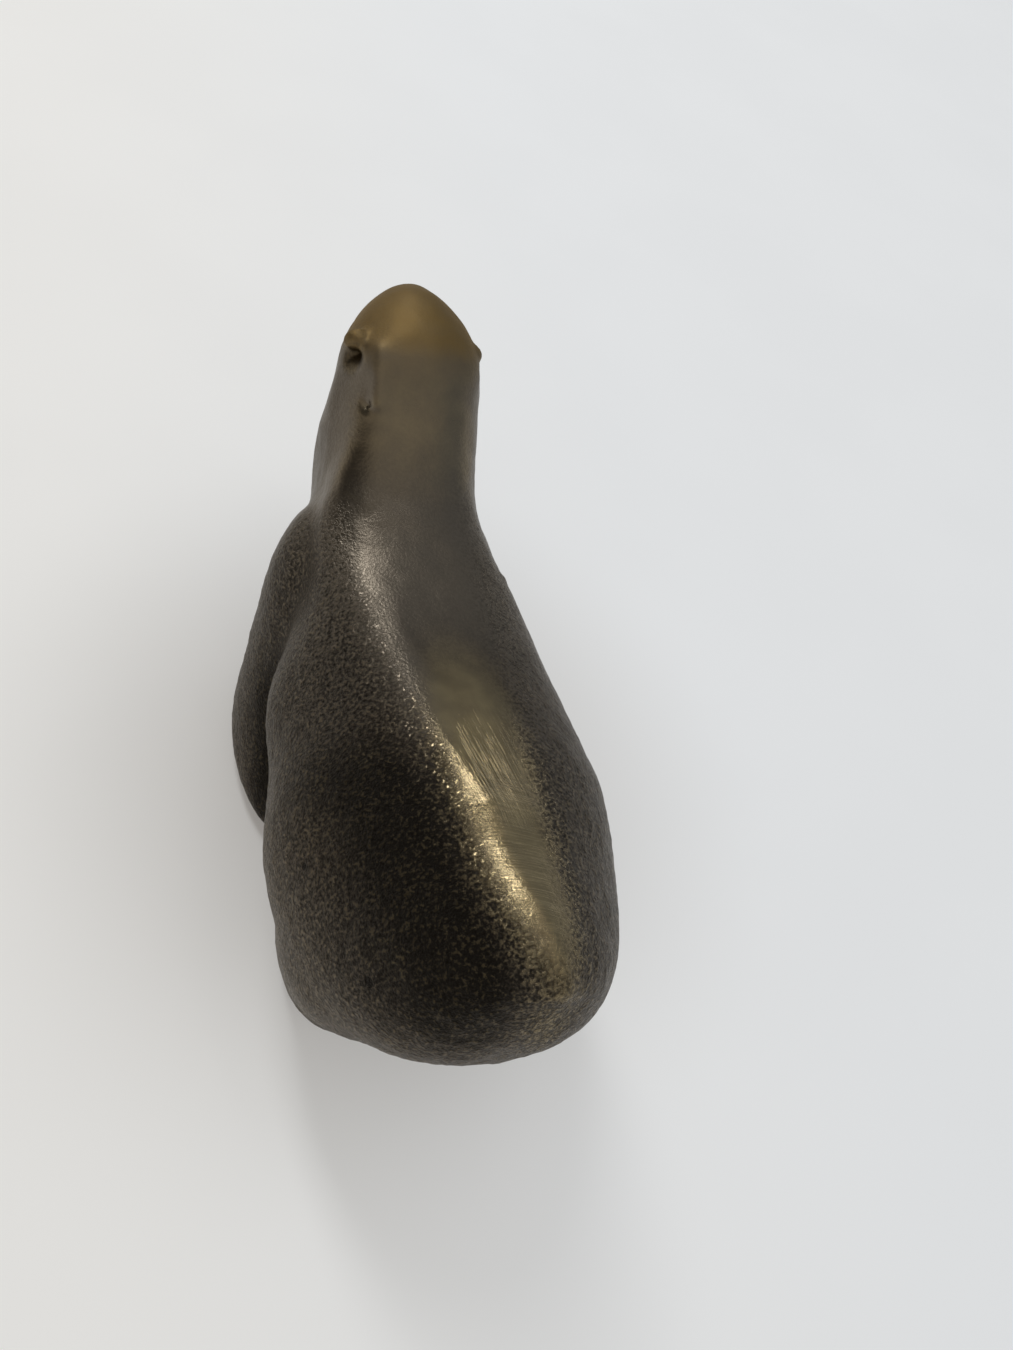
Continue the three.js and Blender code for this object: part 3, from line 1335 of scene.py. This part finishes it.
    def skin_spot(self, clay: Clay, hand: Hand, spot: Station) -> Vector:
        """Find the place on the skin nearest to a spot of the head."""
        return clay.nearest(self.head_spot(hand, spot))

    def sculpt_head(self, clay: Clay) -> None:
        """Raise the nose and a strip behind the left ear, and press the eyes, nostrils and mouth.

        Args:
            clay: The skin.
        """
        self.strip.press(clay)
        left, right = (self.head_spot(hand, self.nose) for hand in Hand)
        clay.swell(clay.near(right, self.nose_radius, left), self.nose_rise)
        clay.swell(self.face(clay), -self.face_depth)
        for hand in Hand:
            clay.swell(clay.near(self.skin_spot(clay, hand, self.eye), self.eyeball), self.eyeball)

    def face(self, clay: Clay) -> np.ndarray:
        """Mark the eyes, the nostrils and the line of the mouth.

        Args:
            clay: The skin.

        Returns:
            A weight from 0 to 1 for each corner.
        """
        marks = []
        for hand in Hand:
            line = [self.skin_spot(clay, hand, spot) for spot in self.mouth]
            marks += [clay.near(start, self.mouth_radius, end) for start, end in zip(line, line[1:])]
            marks.append(clay.near(self.skin_spot(clay, hand, self.nostril), self.nostril_radius))
            marks.append(clay.near(self.skin_spot(clay, hand, self.eye), self.eye_radius))
        return np.max(marks, axis=0)

    def sculpt_paws(self, clay: Clay) -> None:
        """Press the grooves between the toes.

        Args:
            clay: The skin.
        """
        for stations in (self.fore_leg, self.hind_leg):
            _, middle, side, half_length, half_width = stations[2]
            ahead = (clay.forward - middle) / half_length
            front = smoothstep(*self.toe_front, ahead) * smoothstep(*self.toe_height, clay.height)
            front *= ahead < self.toe_reach
            for share in self.toe_gaps:
                groove = bell(side + share * half_width, self.toe_groove, np.abs(clay.across))
                clay.swell(groove * front, -self.toe_depth)

    def hollow_core(self, dowels: Dowels, vent: Vent) -> bpy.types.Object:
        """Make the solid that hollows the casting, with the dowel holes and the vent.

        Args:
            dowels: Sizes of the dowels and bosses.
            vent: Sizes of the vent.

        Returns:
            The solid.
        """
        core = self.trunk_tube("core", *self.hollow, self.wall)
        drilled = dowels.length + 2 * GAP
        spots = [Vector((0, from_rump(forward), height)) for forward, height in dowels.places]
        boss_length = drilled + 2 * dowels.boss_end
        for spot in spots:
            carve(core, bar("boss", dowels.boss_radius, boss_length, spot, "X"), Carve.REMOVE)
        for spot in spots:
            carve(core, bar("hole", dowels.radius + GAP, drilled, spot, "X"), Carve.JOIN)
        carve(core, vent.upright("seat", vent.head_radius + GAP, 0, vent.seat), Carve.JOIN)
        hole_top = vent.shank_top + self.wall
        carve(core, vent.upright("hole", vent.shank_radius + GAP, 0, hole_top), Carve.JOIN)
        return core

    def part(self, whole: bpy.types.Object, hand: Hand) -> bpy.types.Object:
        """Cut one half from the whole casting and close it on the mid-plane.

        Args:
            whole: The hollowed casting.
            hand: Side of the bear to keep.

        Returns:
            The half, as a new object.
        """
        bm = bmesh.new()
        bm.from_mesh(whole.data)
        cut = bmesh.ops.bisect_plane(bm, geom=bm.verts[:] + bm.edges[:] + bm.faces[:], dist=1e-7,
                                     plane_co=(0, 0, 0), plane_no=(-hand.value, 0, 0), clear_outer=True)
        rim = [edge for edge in cut["geom_cut"] if isinstance(edge, bmesh.types.BMEdge)]
        bmesh.ops.triangle_fill(bm, use_beauty=True, edges=rim)
        return from_bmesh(f"{hand.name.lower()}_half", bm)

    def build(self, finish: bpy.types.Material, dowels: Dowels, vent: Vent) -> None:
        """Make both halves.

        Args:
            finish: Material of the halves.
            dowels: Sizes of the dowels and bosses.
            vent: Sizes of the vent.
        """
        whole = self.skin()
        self.sculpt(Clay(whole))
        carve(whole, self.hollow_core(dowels, vent), Carve.REMOVE)
        Weathering(self, Clay(whole)).store()
        for hand in Hand:
            half = self.part(whole, hand)
            dress(half, finish, [f"{hand.name.lower()}_half_casting"])
        drop(whole)


@dataclass(frozen=True)
class Weathering:
    """Where the skin of the casting is filed, rubbed, darkened and grained, and where shade, reflections
    and a sheen are painted into its colour.

    The methods give a weight for each corner of the skin.
    """

    casting: Casting
    clay: Clay
    # Each row: distance from the rump, left edge, right edge
    band_edges: Sequence[Station] = (
        (2, -2.4, -1.0),
        (14, 1.4, -1.6),
        (28, 3.4, -2.0),
        (42, 4.0, -2.0),
        (54, 3.0, -1.2),
    )
    band_left_fade: Span = (6.0, -2.0)
    band_right_fade: Span = (-9.5, 0.5)
    band_reach: Zone = Zone(forward=(66, 38), upward=(-0.25, 0.4))
    band_rump: Zone = Zone(forward=(0, 14), low=0.65)
    band_wear: float = 0.9
    crown_up: Span = (-2.0, 6.0)
    crown_back: Span = (-20.0, -11.0)
    crown_front: Span = (22.0, 8.0)
    crown_wear: float = 0.72
    muzzle_rub: float = 0.4
    nose: Vector = Vector((0, 25, 1))
    nose_radius: float = 4.0
    nose_wear: float = 0.6
    ear_radius: float = 2.4
    strip_radius: float = 0.9
    strip_wear: float = 0.75
    # Rubbed nape, also a painted reflection of the table behind the bear
    nape_wear_and_reflection: Zone = Zone(forward=(72, 88), upward=(0.2, 0.6), height=(50, 56), high=0.44)
    grain_left: Zone = Zone(beside=(-3.5, 4.5))
    grain_right: Zone = Zone(across=(-4, -12), high=0.7)
    grain_rear: Zone = Zone(forward=(46, 32))
    grain_neck: Zone = Zone(forward=(92, 74), low=0.25)
    grain_least: float = 0.12
    grain_cut: Span = (0.3, 1.0)
    grain_loss: float = 0.9
    withers: Zone = Zone(forward=(44, 66), upward=(0.0, 0.7))
    # Painted reflection of the table on the low haunch
    low_haunch_table_reflection: Zone = Zone(sideways=(0.5, 0.8), height=(46, 34), forward=(48, 30), high=1.3)
    # Painted reflection of the table on the throat
    throat_table_reflection: Zone = Zone(forward=(82, 92), height=(46, 56), high=0.6)
    # Polish and painted sheen along the crest
    crest_polish_and_sheen: Zone = Zone(off_crest=(6, 1), forward=(30, 42), high=1.3)
    # Painted dark reflection of the room on the left haunch, beside the band
    haunch_dark_reflection: Zone = Zone(beside=(3, 8, 13, 22), forward=(46, 34), upward=(0.1, 0.4))
    # Painted shade in the crevice behind the fore legs
    fore_leg_shade: Zone = Zone(side=(23, 21), forward=(48, 52, 66, 74), height=(36, 28))
    pit_radius: float = 1.5
    filed_over: Zone = Zone(across=(-13, -8, 2, 6), forward=(4, 10, 27, 34))
    filed_along: Zone = Zone(across=(-12, -7, 1, 5), forward=(20, 26, 30, 48))

    def weigh(self, zone: Zone) -> np.ndarray:
        """Weigh the corners by one zone."""
        return self.casting.weigh(self.clay, zone)

    def strongest(self, *zones: Zone) -> np.ndarray:
        """Take the strongest of several zones at each corner."""
        return np.max([self.weigh(zone) for zone in zones], axis=0)

    def band(self) -> np.ndarray:
        """Mark the filed and rubbed band along the back.

        Returns:
            1 in the band, 0 off it and values between at its soft edges.
        """
        forward, *edges = np.array(self.band_edges).T
        left, right = (self.clay.across - np.interp(self.clay.forward, forward, edge) for edge in edges)
        sides = smoothstep(*self.band_left_fade, left) * smoothstep(*self.band_right_fade, right)
        return sides * self.weigh(self.band_reach) * self.weigh(self.band_rump)

    def crown(self) -> np.ndarray:
        """Mark the rubbed top of the head.

        Returns:
            1 on the crown and less on the muzzle and below.
        """
        ahead = self.clay.forward - self.casting.head_forward
        above = self.clay.height - self.casting.head_height
        cosine, sine = math.cos(self.casting.head_tilt), math.sin(self.casting.head_tilt)
        along = ahead * cosine - above * sine
        up = ahead * sine + above * cosine
        top = smoothstep(*self.crown_up, up) * smoothstep(*self.crown_back, along)
        return top * (self.muzzle_rub + (1 - self.muzzle_rub) * smoothstep(*self.crown_front, along))

    def roughness(self) -> np.ndarray:
        """Say how strong the cast grain is.

        Returns:
            1 on the cast skin and less where it was filed or rubbed smooth.
        """
        skin = self.strongest(self.grain_left, self.grain_right, self.grain_rear)
        skin = self.grain_least + (1 - self.grain_least) * skin
        loss = self.grain_loss * smoothstep(*self.grain_cut, self.band())
        return skin * self.weigh(self.grain_neck) * (1 - loss)

    def wear(self) -> np.ndarray:
        """Say how far the patina is rubbed away.

        Returns:
            1 where the brass is bare and 0 where the patina is whole.
        """
        casting, clay = self.casting, self.clay
        ears = sum(clay.near(casting.ear_spot(hand), self.ear_radius) for hand in Hand)
        nose = clay.near(casting.head_point(*self.nose), self.nose_radius)
        strip = clay.near(casting.strip.start, self.strip_radius, casting.strip.end)
        # The nape's share is rubbed patina and also a painted reflection of the table behind the bear
        worn = [self.band_wear * self.band(), self.crown_wear * self.crown(), self.weigh(self.nape_wear_and_reflection)]
        worn += [ears, self.nose_wear * nose, self.strip_wear * strip]
        return np.max(worn, axis=0) * (1 - casting.face(clay))

    def pale(self) -> np.ndarray:
        """Say where the patina is paler: thinned on the withers, with a painted reflection of the table on
        the low haunch and throat and a polish and painted sheen along the crest.
        """
        return self.strongest(self.withers, self.low_haunch_table_reflection, self.throat_table_reflection, self.crest_polish_and_sheen)

    def painted_shade(self) -> np.ndarray:
        """Say where shade and a dark reflection are painted into the patina's colour.

        Returns:
            1 beside the band on the left haunch (painted dark reflection), behind the fore legs and in the
            ear (painted shade), and on the face's lines.
        """
        mouth, bottom = self.casting.ear_pit(Hand.LEFT)
        ear = self.clay.near(mouth, self.pit_radius, bottom)
        shaded = self.strongest(self.haunch_dark_reflection, self.fore_leg_shade)
        return np.max([shaded, ear, self.casting.face(self.clay)], axis=0)

    def store(self) -> None:
        """Keep the weights as attributes of the mesh, under the names that the finish reads."""
        self.clay.store("wear", self.wear())
        self.clay.store("rough", self.roughness())
        self.clay.store("filed", self.weigh(self.filed_over))
        self.clay.store("drawn", self.weigh(self.filed_along))
        self.clay.store("pale", self.pale())
        self.clay.store("painted_shade", self.painted_shade())
        self.clay.store("warm", self.crown())


@dataclass(frozen=True)
class FeltPads:
    """Felt pads under the paws."""

    thickness: float = 1.2
    share: float = 0.85
    edge: float = 0.3
    sides: int = 72

    def build(self, casting: Casting, finish: bpy.types.Material) -> None:
        """Make the four pads.

        Args:
            casting: The bear that stands on them.
            finish: Their material.
        """
        for pair, stations in (("fore", casting.fore_leg), ("hind", casting.hind_leg)):
            for hand in Hand:
                side = hand.name.lower()
                pad = self.pad(f"{side}_{pair}_felt", stations[0], hand)
                dress(pad, finish, [f"{side}_{pair}_pad"])

    def pad(self, name: str, sole: Station, hand: Hand) -> bpy.types.Object:
        """Make one pad, with rounded edges.

        Args:
            name: Name of the new object.
            sole: First station of the leg above it.
            hand: Side of the bear.

        Returns:
            The pad.
        """
        _, forward, side, half_length, half_width = sole
        bm = bmesh.new()
        bmesh.ops.create_circle(bm, cap_ends=True, segments=self.sides, radius=1.0)
        bmesh.ops.scale(bm, vec=Vector((half_width, half_length, 1)) * self.share * MM, verts=bm.verts)
        place = Vector((hand.value * side, from_rump(forward), 0)) * MM
        bmesh.ops.translate(bm, vec=place, verts=bm.verts)
        grown = bmesh.ops.extrude_face_region(bm, geom=bm.faces[:])["geom"]
        lifted = [one for one in grown if isinstance(one, bmesh.types.BMVert)]
        bmesh.ops.translate(bm, vec=Vector((0, 0, self.thickness)) * MM, verts=lifted)
        rims = [edge for edge in bm.edges if abs(edge.verts[0].co.z - edge.verts[1].co.z) < TINY]
        bmesh.ops.bevel(bm, geom=rims, offset=self.edge * MM, segments=3, profile=0.5, affect="EDGES",
                        material=-1)
        return from_bmesh(name, bm)


@dataclass(frozen=True)
class Fittings:
    """The hidden dowels and braze beads, which stay as the CAD made them."""

    beads: Sequence[str] = ("spine_braze_bead", "neck_braze_bead", "belly_braze_bead")
    dowels: Sequence[str] = ("rump_dowel", "withers_dowel", "chest_dowel")

    def dress(self, braze: bpy.types.Material, brass: bpy.types.Material) -> None:
        """Give the CAD nodes their finishes.

        Args:
            braze: Material of the beads.
            brass: Material of the dowels.
        """
        for names, finish in ((self.beads, braze), (self.dowels, brass)):
            for name in names:
                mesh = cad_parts[name].data
                mesh.materials.clear()
                mesh.materials.append(finish)
                log.info("%s: dressed", name)


@dataclass(frozen=True)
class Softbox:
    """A rectangular lamp that faces the bear."""

    name: str
    place: Vector
    width: float
    length: float
    power: float
    colour: tuple[float, float, float]

    def hang(self) -> None:
        """Put the lamp into the scene."""
        lamp = bpy.data.lights.new(self.name, "AREA")
        lamp.shape = "RECTANGLE"
        lamp.size = self.width
        lamp.size_y = self.length
        lamp.energy = self.power
        lamp.color = self.colour
        holder = bpy.data.objects.new(self.name, lamp)
        turn = self.place.to_track_quat("Z", "Y").to_matrix().to_4x4()
        holder.matrix_world = Matrix.Translation(self.place) @ turn
        bpy.context.scene.collection.objects.link(holder)


@dataclass(frozen=True)
class Studio:
    """The table top, the lamps and the room around them."""

    floor_size: float = 2.0
    lamps: Sequence[Softbox] = (
        Softbox("window", Vector((0.26, -0.93, 1.28)), 0.26, 0.9, 8.2, (0.97, 0.99, 1.0)),
        Softbox("skylight", Vector((-0.28, -0.1, 1.45)), 0.6, 0.08, 0.3, (1.0, 0.99, 0.97)),
    )
    room_cool: Colour = (0.35, 0.375, 0.405, 1)
    room_warm: Colour = (0.43, 0.40, 0.36, 1)
    room_high: Colour = (0.58, 0.56, 0.52, 1)
    room_dark: Colour = (0.015, 0.013, 0.012, 1)
    high_side: Vector = Vector((0, 0.6, 0.8))
    dark_side: Vector = Vector((0.65, -0.38, 0.66))
    side_fade: Span = (-0.8, 0.8)
    high_fade: Span = (0.6, 1.0)
    dark_fade: Span = (0.78, 0.95)

    def build(self) -> None:
        """Make the table, hang the lamps and light the room."""
        bm = bmesh.new()
        bmesh.ops.create_grid(bm, x_segments=4, y_segments=4, size=self.floor_size)
        floor = from_bmesh("table_top", bm)
        floor.data.materials.append(FloorFinish().material())
        floor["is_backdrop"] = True
        for lamp in self.lamps:
            lamp.hang()
        world = bpy.data.worlds.new("room")
        world.use_nodes = True
        self.light_room(Graph(world.node_tree))
        bpy.context.scene.world = world

    def light_room(self, graph: Graph) -> None:
        """Write the room, cool on the bear's right, warm on its left, bright behind and dark in front.

        Args:
            graph: The empty node tree of the world.
        """
        way = graph.add("ShaderNodeTexCoord").outputs["Generated"]

        def towards(direction: Vector) -> Signal:
            """Measure how far the view turns towards a direction.

            Args:
                direction: The direction, of any length.

            Returns:
                The cosine of the angle between them.
            """
            node = graph.add("ShaderNodeVectorMath", {"operation": "DOT_PRODUCT"},
                             {0: way, 1: direction.normalized()})
            return graph.signal(node, "Value")

        side = towards(Vector((1, 0, 0))).ease(*self.side_fade)
        colour = graph.mix(side, self.room_cool, self.room_warm)
        colour = graph.mix(towards(self.high_side).ease(*self.high_fade), colour, self.room_high)
        colour = graph.mix(towards(self.dark_side).ease(*self.dark_fade), colour, self.room_dark)
        shader = graph.add("ShaderNodeBackground", None, {"Color": colour, "Strength": 1.0})
        graph.add("ShaderNodeOutputWorld", None, {"Surface": shader.outputs["Background"]})


@dataclass(frozen=True)
class PhotoView:
    """The camera, placed as the photograph's was."""

    eye: Vector = Vector((47.06, 90.32, 168.08))
    aim: Vector = Vector((-16.06, 2.47, 35.0))
    roll: float = math.radians(28.36)
    lens: float = 28.08
    nearest: float = 0.005

    def place(self) -> None:
        """Make the camera and give it to the scene."""
        data = bpy.data.cameras.new("photo_view")
        data.lens = self.lens
        data.clip_start = self.nearest
        camera = bpy.data.objects.new("photo_view", data)
        look = (self.aim - self.eye).to_track_quat("-Z", "Y").to_matrix().to_4x4()
        camera.matrix_world = Matrix.Translation(self.eye * MM) @ look @ Matrix.Rotation(self.roll, 4, "Z")
        bpy.context.scene.collection.objects.link(camera)
        bpy.context.scene.camera = camera


def main() -> None:
    """Build every piece in order."""
    logging.basicConfig(level=logging.INFO, format="%(name)s: %(message)s")
    bpy.context.scene.view_settings.view_transform = "Standard"
    PhotoView().place()
    Studio().build()
    brass = BrassFinish("brass", bright=(0.62, 0.45, 0.19, 1), dull=(0.38, 0.27, 0.12, 1), lump_depth=0.02)
    braze = BrassFinish("braze", bright=(0.66, 0.50, 0.24, 1), dull=(0.34, 0.25, 0.13, 1), lump_depth=0.25)
    turned, brazed = brass.material(), braze.material()
    casting = Casting()
    vent = Vent()
    casting.build(BronzeFinish().material(), Dowels(), vent)
    FeltPads().build(casting, FeltFinish().material())
    vent.build(turned)
    Fittings().dress(brazed, turned)
    boxes = {"cad": cad_box, "visual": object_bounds()}
    boxes = {name: [list(corner) for corner in box] for name, box in boxes.items()}


if __name__ == "__main__":
    main()
